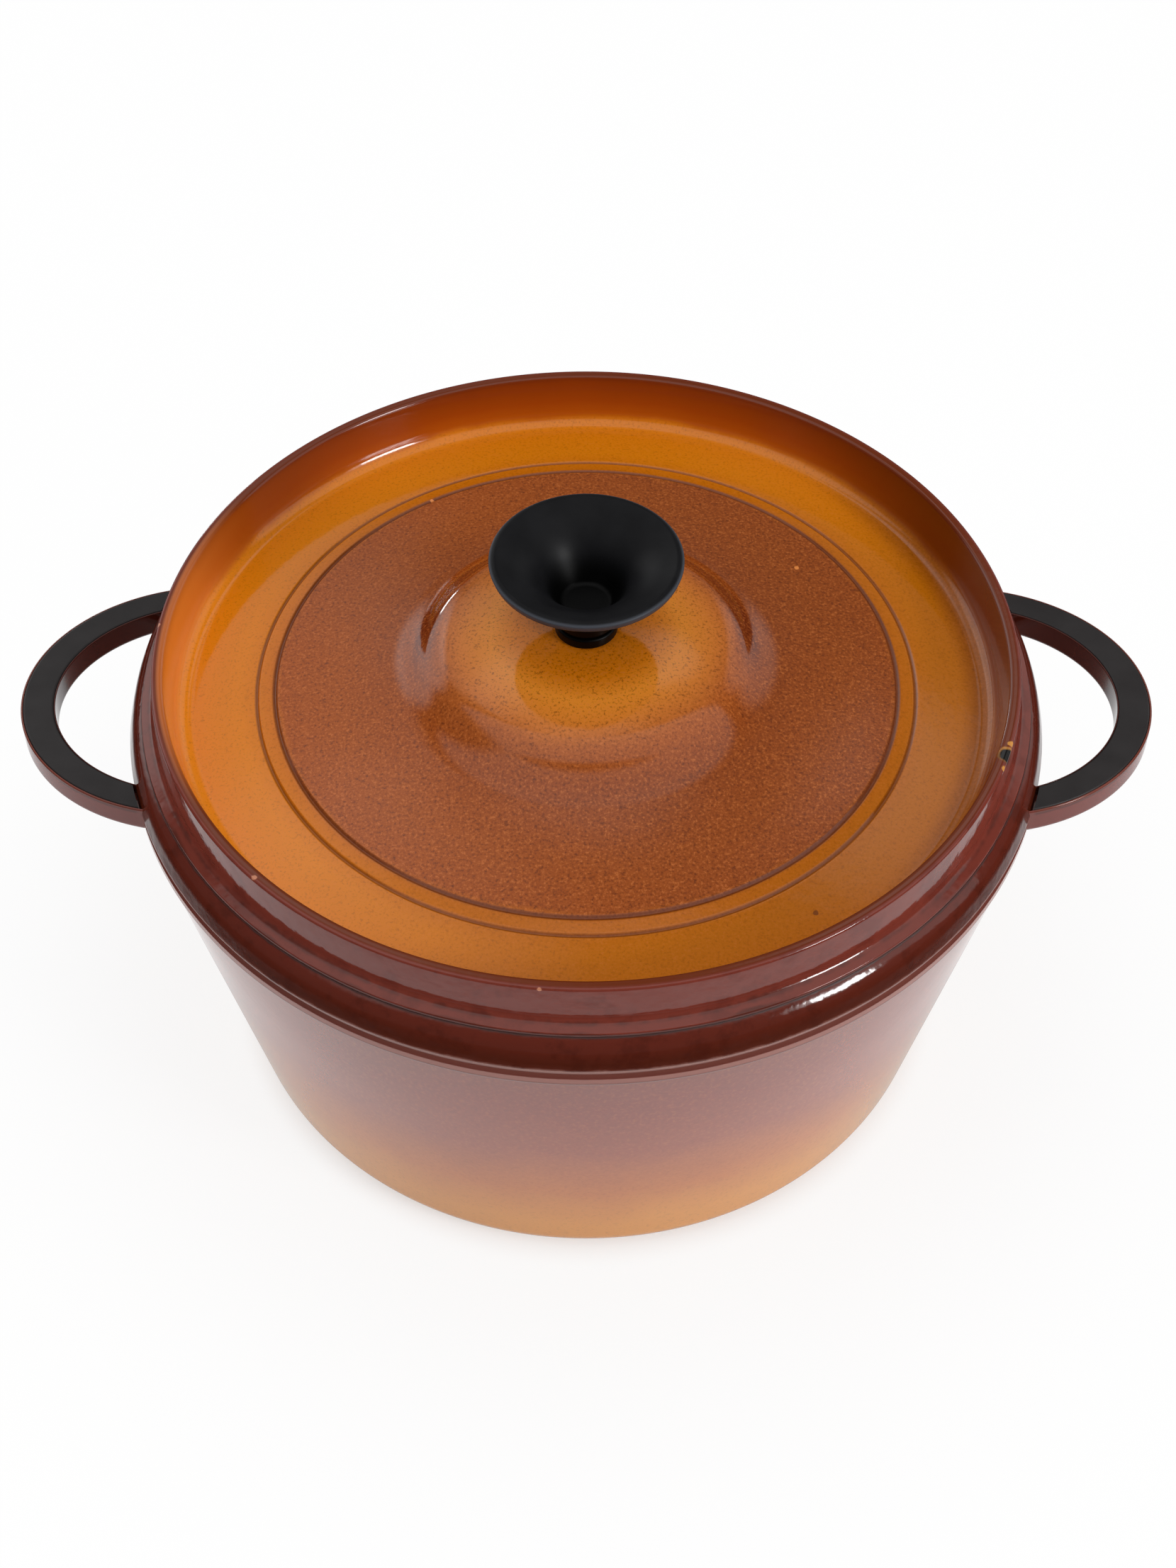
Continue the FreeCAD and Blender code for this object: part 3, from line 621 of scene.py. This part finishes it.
def lid_finish():
    """Brown enamel with amber on the mound and in the tray, and maroon outside the lip."""
    material, shader, place = new_finish("lid_enamel", IOR=1.55)
    x, y, z, radius = axes(place)
    drift = place.wander(45, width=1)
    above = z - SEAT + drift * 3
    outside = radius.fade(126.6, 127.6) * above.fade(-4, -2)
    colour = lid_top_colour(place, x, y, radius, drift)
    colour = lip_colour(colour, x, y, radius, above)
    colour = lip_outside_colour(colour, place, radius, above, outside)
    for middle, inner_edge, outer_edge, depth in GROOVE_LINES:
        line = 1 - place.math("ABSOLUTE", radius - middle).fade(inner_edge, outer_edge)
        colour = (line * depth).coat(colour, GROOVE_BROWN)
    disc = radius.fade(50, 60) * (1 - radius.fade(*TRAY_EDGE))
    feed(shader, "Base Color", with_faults(colour, place, LID_FAULTS))
    feed(shader, "Roughness", disc * 0.09 + 0.08)
    feed(shader, "Normal", enamel_skin(place, outside * 1.5 + 0.7))
    return material


# The pot's shades by height, round its rim by radius and depth under the seat, and on its step

BODY_SHADES = (
    (0, (236, 161, 70)),
    (20, (231, 154, 66)),
    (45, (201, 118, 56)),
    (75, (158, 76, 50)),
    (105, (140, 62, 47)),
    (120, (134, 62, 48)),
    (140, (134, 62, 48)),
)
RIM_SHADES = (
    # Darkest where the rim meets the lid's flange: painted shade along the seam
    (130.0, (58, 18, 9)),
    (133.4, (58, 18, 9)),
    (134.2, (96, 36, 24)),
    (139.5, (90, 34, 22)),
    (144.5, (78, 29, 15)),
    (146.2, (84, 34, 22)),
    # Paler and greyer at the band's lower edge: a painted reflection
    (147.2, (138, 92, 82)),
    (148.0, (156, 110, 100)),
)
STEP_SHADES = (
    # Paler and greyer on the bead and at the band's lower edge: painted reflections; darker under
    # the bead and in the recess: painted shade
    (121.5, (134, 66, 54)),
    (123.6, (116, 62, 53)),
    (124.2, (150, 92, 80)),
    (125.6, (150, 92, 80)),
    (126.0, (108, 56, 48)),
    (127.2, (120, 68, 58)),
    (127.8, (156, 104, 92)),
    (130.0, (156, 104, 92)),
)
BODY_DARK_FLECK = (80, 34, 20)
RIM_PATCH = (66, 22, 11)
FOOT_BROWN = (110, 52, 16)
POT_FAULTS = (((-3.6, -111.6, 3.0), 1.6, FOOT_BROWN),)


def pot_finish():
    """Maroon enamel at the rim that pales to amber at the foot, with painted shade at the seam and
    in the recess under the band, and painted reflections on the bead and the band's lower edge.
    """
    material, shader, place = new_finish("pot_enamel", IOR=1.58)
    *_, z, radius = axes(place)
    height = z + place.wander(40, width=14)
    colour = height.colours(BODY_SHADES)
    colour = speckle(colour, place, 800, (0.14, ORANGE), (0.14, BODY_DARK_FLECK))
    jag = place.wander(260, width=2.4)
    step = (z + jag * 0.12).colours(STEP_SHADES)
    colour = z.fade(121, 122.5).over(colour, step)
    round_rim = radius - z + SEAT + jag * 0.5
    rim = round_rim.colours(RIM_SHADES)
    patches = place.noise(110, detail=4, roughness=0.65).fade(0.5, 0.66)
    rim = (patches * 0.45).coat(rim, RIM_PATCH)
    upper = z.fade(128.6, 129.4)
    colour = upper.over(colour, rim)
    dull = (1 - round_rim.fade(133.2, 134.2)) * upper
    feed(shader, "Base Color", with_faults(colour, place, POT_FAULTS))
    feed(shader, "Roughness", dull * 0.4 + 0.09)
    feed(shader, "Normal", enamel_skin(place, upper * 1.9 + 0.6))
    return material


# A side loop's shades: by height, where it leaves the pot, and on the inner wall of its ring

LOOP_SHADES = (
    (120, (112, 46, 36)),
    (129.6, (118, 50, 40)),
    # The dark line just under the top edge is painted shade, and the paler top edge a painted
    # highlight
    (130.4, (84, 30, 22)),
    (131.2, (112, 54, 42)),
    (132, (124, 62, 48)),
)
ROOT_PAINTED_HIGHLIGHT = (120, 56, 46)
RING_PAINTED_SHADE = (72, 24, 14)


def loop_finish():
    """The pot's maroon enamel on the side loops: a painted highlight along their upper edges with
    painted shade just under it, a painted highlight where they leave the pot, and painted shade
    inside their rings.
    """
    material, shader, place = new_finish("loop_enamel", Roughness=0.1, IOR=1.55)
    x, y, z, radius = axes(place)
    colour = (z + place.wander(120, width=1.2)).colours(LOOP_SHADES)
    # Paler where the loop leaves the pot: a painted highlight on the join
    root_highlight = 1 - radius.fade(137.4, 139)
    colour = root_highlight.coat(colour, ROOT_PAINTED_HIGHLIGHT)
    # Darker on the inner wall of the ring: painted shade
    across = (place.math("ABSOLUTE", x) - LOOP_CENTRE) / LOOP_STRETCH[0]
    along = y / LOOP_STRETCH[1]
    ring = place.math("SQRT", across * across + along * along)
    colour = (1 - ring.fade(40.7, 41.2)).coat(colour, RING_PAINTED_SHADE)
    feed(shader, "Base Color", colour)
    feed(shader, "Normal", enamel_skin(place, 0.6))
    return material


# The cream enamel's shades by a cloudy pattern, and its flecks

CREAM_SHADES = (
    (0.3, (214, 200, 170)),
    (0.7, (226, 214, 188)),
)
CREAM_FLECK = (120, 92, 60)


def inside_finish():
    """Cream enamel inside the pot and under the lid."""
    material, shader, place = new_finish("inside_enamel", Roughness=0.15, IOR=1.5)
    flecks = place.noise(900, roughness=0.6).fade(0.66, 0.74)
    colour = place.noise(30, detail=3).colours(CREAM_SHADES)
    feed(shader, "Base Color", (flecks * 0.5).coat(colour, CREAM_FLECK))
    feed(shader, "Normal", ripple(place, place.noise(200), depth=0.03))
    return material


# The knob's rim, paler as a painted highlight, and the bottom of its funnel, black as painted
# shade

KNOB_RIM_PAINTED_HIGHLIGHT = (68, 71, 78)
FUNNEL_PAINTED_SHADE = (2, 2, 2)


def black_finish(name, shade, roughness, edge=0, refraction=1.38):
    """Heat-proof black with a moulded skin; an edge is the radius where a knob's rim turns paler,
    a painted highlight.
    """
    material, shader, place = new_finish(name, IOR=refraction)
    paler = [value + 8 for value in shade]
    colour = place.noise(90, detail=3).colours(((0.3, shade), (0.7, paler)))
    if edge:
        *_, radius = axes(place)
        # Paler at the rim: a painted highlight
        colour = radius.fade(edge, edge + 1).coat(colour, KNOB_RIM_PAINTED_HIGHLIGHT)
        # Black near the axis: painted shade at the bottom of the funnel and on the ring under the
        # knob
        colour = radius.fade(edge / 3, edge / 2).over(paint(*FUNNEL_PAINTED_SHADE), colour)
    feed(shader, "Base Color", colour)
    feed(shader, "Roughness", place.wander(150, width=0.12) + roughness)
    feed(shader, "Normal", ripple(place, place.noise(2500), depth=0.01))
    return material


def metal_finish(name, shade, roughness):
    """Turned metal with fine rings from the tool."""
    material, shader, place = new_finish(name, Metallic=1.0)
    *_, radius = axes(place)
    dull = [value * 0.82 for value in shade]
    rings = place.math("SINE", radius * 40) * 0.5
    feed(shader, "Base Color", place.noise(400, detail=3).colours(((0.3, dull), (0.7, shade))))
    feed(shader, "Roughness", place.noise(900) * 0.15 + roughness)
    feed(shader, "Normal", ripple(place, rings, depth=0.004))
    return material


# How bright the floor is where the enamel mirrors it, by the distance from the pot's axis

POOL_SHADES = (
    (112, (195, 195, 195)),
    (140, (250, 250, 250)),
    (190, (255, 255, 255)),
    (270, (232, 232, 233)),
    (340, (96, 96, 98)),
    (420, (34, 34, 36)),
    (800, (30, 30, 32)),
)
PAPER = (0.92, 0.92, 0.92, 1)


def floor_finish():
    """White paper with the pot's shadow, dimmer where it is mirrored and clear from below."""
    material, shader, place = new_finish("studio_floor", Base_Color=PAPER, Roughness=0.9)
    tree = material.node_tree
    *_, radius = axes(place)
    paper = Signal(tree, shader.outputs["BSDF"])
    seen = place.ray("Camera") + place.ray("Transmission")
    mirrored = place.ray("Glossy")
    white = place.node("ShaderNodeEmission", (), {"Strength": 1})
    pool = {"Color": radius.colours(POOL_SHADES), "Strength": 1}
    glow = place.node("ShaderNodeEmission", (), pool)
    share = radius.fade(104, 120) * 0.4 + radius.fade(130, 260) * 0.12 + 0.46
    direct = (seen * share).mix_shader(paper, white)
    both = mirrored.mix_shader(direct, glow)
    below = place.node("ShaderNodeNewGeometry", output="Backfacing")
    clear = place.node("ShaderNodeBsdfTransparent")
    whole = below.mix_shader(both, clear)
    tree.links.new(whole.socket, tree.nodes["Material Output"].inputs["Surface"])
    return material


def dress(piece, *materials):
    """Give a piece its finishes."""
    slots = piece.data.materials
    slots.clear()
    for material in materials:
        slots.append(material)


def line_with(piece, slot, belongs):
    """Give another of its finishes to the faces that belong by radius, height and normal."""
    for face in piece.data.polygons:
        radius = math.hypot(face.center.x, face.center.y) / MM
        if belongs(radius, face.center.z / MM, face.normal.z):
            face.material_index = slot


lid_enamel = lid_finish()
pot_enamel = pot_finish()
loop_enamel = loop_finish()
inside_enamel = inside_finish()
bare_rim = black_finish("bare_rim", (44, 31, 26), 0.5, refraction=1.25)
grip_black = black_finish("grip_black", (40, 37, 37), 0.4)
knob_black = black_finish("knob_black", (15, 15, 17), 0.42, edge=27, refraction=1.24)
steel = metal_finish("fastener_steel", (176, 176, 178), 0.3)
brass = metal_finish("insert_brass", (196, 158, 84), 0.3)

# The places of the cream and the bare iron among a casting's finishes

CREAM = 1
BARE = 2

# What tells them from the enamel outside, in millimetres

WALL_MIDDLE = 110  # the radius of the pot's wall at half its thickness, carried down to the floor
WALL_LEAN = 0.19  # how far the wall leans out for each millimetre of height
BARE_RING = (126.7, 129.7)  # on the rim, where the lid rests
SKIRT_RING = (124, 130)  # round the outer side of the lid's skirt
SKIRT_ROOT = 124.9  # from here on the lid's underside is the flange
TRAY_DEPTH = 3.2  # no part of the tray's upper face is deeper under the seat
SKIRT_END_RADIUS = 100  # beyond it, what is deeper than the tray is the end of the skirt
NEAR = 0.1  # how near to a flat the middle of a face lies that is part of it
FACES_DOWN = -0.2  # a face whose normal's height is less faces down


def pot_inside(radius, height, up):
    """The pot's floor and wall, and above the neck what lies within the bare ring."""
    if height >= NECK:
        return radius < BARE_RING[0]
    return height > POT_FLOOR - NEAR and radius < WALL_MIDDLE + WALL_LEAN * height


def pot_bare(radius, height, up):
    """The ring on top of the rim that the lid rests on."""
    return height > SEAT - NEAR and BARE_RING[0] <= radius < BARE_RING[1]


def lid_inside(radius, height, up):
    """The lid's underside and all round its skirt."""
    skirt_end = height < SEAT - TRAY_DEPTH and radius > SKIRT_END_RADIUS
    skirt_side = height < SEAT - NEAR / 2 and SKIRT_RING[0] < radius < SKIRT_RING[1]
    return up < FACES_DOWN or skirt_end or skirt_side


def lid_bare(radius, height, up):
    """The underside of the flange."""
    return height < SEAT + NEAR and radius > SKIRT_ROOT and up < FACES_DOWN


pot = spun("pot_casting", outline(POT_OUTSIDE + POT_INSIDE))
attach(pot, "pot")
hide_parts("pot")
dress(pot, pot_enamel, inside_enamel, bare_rim)
line_with(pot, CREAM, pot_inside)
line_with(pot, BARE, pot_bare)

lid = spun("lid_casting", outline(LID_TOP + LID_SIDE + LID_UNDER, closed=True), SEAT)
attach(lid, "lid")
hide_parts("lid")
dress(lid, lid_enamel, inside_enamel, bare_rim)
line_with(lid, CREAM, lid_inside)
line_with(lid, BARE, lid_bare)

knob = spun("knob_bell", outline(KNOB), KNOB_BASE)
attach(knob, "lid")
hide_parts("knob")
dress(knob, knob_black)

collar = spun("knob_ring", outline(COLLAR, closed=True), COLLAR_BASE)
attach(collar, "lid")
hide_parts("knob_collar")
dress(collar, knob_black)

for word, side in (("left", -1), ("right", 1)):
    loop = looped(f"{word}_loop", LOOP_SECTION, side)
    cut_away(loop, LOOP_END_RADIUS)
    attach(loop, "pot")
    dress(loop, loop_enamel)
    grip = looped(f"{word}_grip_bar", GRIP_SECTION, side)
    cut_away(grip, GRIP_END_RADIUS)
    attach(grip, "pot")
    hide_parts(f"{word}_grip")
    dress(grip, grip_black)

for node in ("grip_screws", "knob_screw", "flat_washer", "lock_washer"):
    dress(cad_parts[node], steel)
dress(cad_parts["knob_insert"], brass)

# Floor, light and camera, in metres

FLOOR_SIZE = 8

bpy.ops.object.select_all(action="DESELECT")
bpy.ops.mesh.primitive_plane_add(size=FLOOR_SIZE)
floor = bpy.context.object
floor.name = "studio_floor"
dress(floor, floor_finish())


def towards(azimuth, elevation):
    """A direction: degrees from the front, positive to the right, and degrees above the floor."""
    turn = math.radians(azimuth)
    rise = math.radians(elevation)
    flat = math.cos(rise)
    return Vector((math.sin(turn) * flat, -math.cos(turn) * flat, math.sin(rise)))


# Soft windows round the pot: azimuth, elevation, inner and outer half-angle in degrees, brightness

WINDOWS = (
    (55, 25, 7, 12, 2.4),
    (-133, 17, 15, 25, 1.0),
    (-152, 42, 10, 24, 0.4),
    (-160, 58, 5, 13, 0.4),
    (133, 17, 13, 25, 0.5),
    (162, 50, 4, 10, 0.6),
)

# The brightness of the room itself, of the wall behind the pot and of a pale canopy overhead

ROOM = 0.07
BACK_WALL = 0.05
CANOPY = 0.62

# Their soft edges, as sines of an angle: towards the back, to the right or above the horizon

WALL_EDGE = (0.2, 0.5)
CANOPY_FRONT = (-0.72, -0.56)
CANOPY_BACK = (0.24, 0.37)
CANOPY_LEFT = (-0.8, -0.6)
CANOPY_FOOT = (-0.05, 0.15)

world = bpy.data.worlds.new("studio")
world.use_nodes = True
bpy.context.scene.world = world
direction = Signal(world.node_tree).node("ShaderNodeTexCoord", output="Generated")
right, back, up = direction.split()
lean = back / direction.math("SQRT", back * back + up * up)
overhead = lean.fade(*CANOPY_FRONT) * (1 - lean.fade(*CANOPY_BACK)) * up.fade(*CANOPY_FOOT)
canopy = overhead * right.fade(*CANOPY_LEFT)
light = canopy * CANOPY + back.fade(*WALL_EDGE) * BACK_WALL + ROOM
for azimuth, elevation, inner, outer, brightness in WINDOWS:
    aim = {0: direction, 1: towards(azimuth, elevation)}
    nearness = direction.vector_math("DOT_PRODUCT", aim)
    window = nearness.fade(math.cos(math.radians(outer)), math.cos(math.radians(inner)))
    light = light + window * brightness
seen = direction.ray("Camera") + direction.ray("Transmission")
light = light + seen * (1 - light)
background = world.node_tree.nodes["Background"]
background.inputs["Color"].default_value = (1, 1, 1, 1)
world.node_tree.links.new(light.socket, background.inputs["Strength"])

# Soft lamps: name, place, size, watts, and whether the enamel mirrors them

LAMP_DISTANCE = 2.2
LAMP_AIM = Vector((0, 0, 0.1))
LAMPS = (
    ("window_right", towards(55, 27) * LAMP_DISTANCE, (0.5, 0.45), 14, True),
    ("window_back", Vector((-0.9, 1.65, 0.15)), (0.25, 0.2), 1.6, True),
    ("ceiling", Vector((0, 0.1, 2.3)), (1.8, 1.8), 11, False),
    ("fill_right", towards(55, 30) * LAMP_DISTANCE, (1.4, 1.3), 5, False),
    ("fill_left", towards(-75, 27) * LAMP_DISTANCE, (1.4, 1.3), 11, False),
)


def soft_box(name, place, size, power, mirrored):
    """A soft lamp that faces the middle of the pot."""
    lamp = bpy.data.lights.new(name, "AREA")
    lamp.shape = "RECTANGLE"
    lamp.size, lamp.size_y = size
    lamp.energy = power
    holder = bpy.data.objects.new(name, lamp)
    bpy.context.scene.collection.objects.link(holder)
    holder.location = place
    holder.rotation_mode = "QUATERNION"
    holder.rotation_quaternion = (LAMP_AIM - place).to_track_quat("-Z", "Y")
    holder.visible_glossy = mirrored


for lamp_facts in LAMPS:
    soft_box(*lamp_facts)

# The camera of the photograph: metres, degrees above the floor, radians, and millimetres

CAMERA_PLACE = (0.00057, -0.52125, 0.67163)
CAMERA_ELEVATION = 48.054
CAMERA_ROLL = 0.00196
LENS = 56.96
SENSOR = 36

camera_data = bpy.data.cameras.new("camera")
camera_data.lens = LENS
camera_data.sensor_width = SENSOR
camera_data.dof.use_dof = False
camera = bpy.data.objects.new("camera", camera_data)
bpy.context.scene.collection.objects.link(camera)
pitch = Matrix.Rotation(math.radians(90 - CAMERA_ELEVATION), 4, "X")
roll = Matrix.Rotation(CAMERA_ROLL, 4, "Z")
camera.matrix_world = Matrix.Translation(CAMERA_PLACE) @ pitch @ roll
bpy.context.scene.camera = camera
bpy.context.scene.view_settings.view_transform = "Standard"
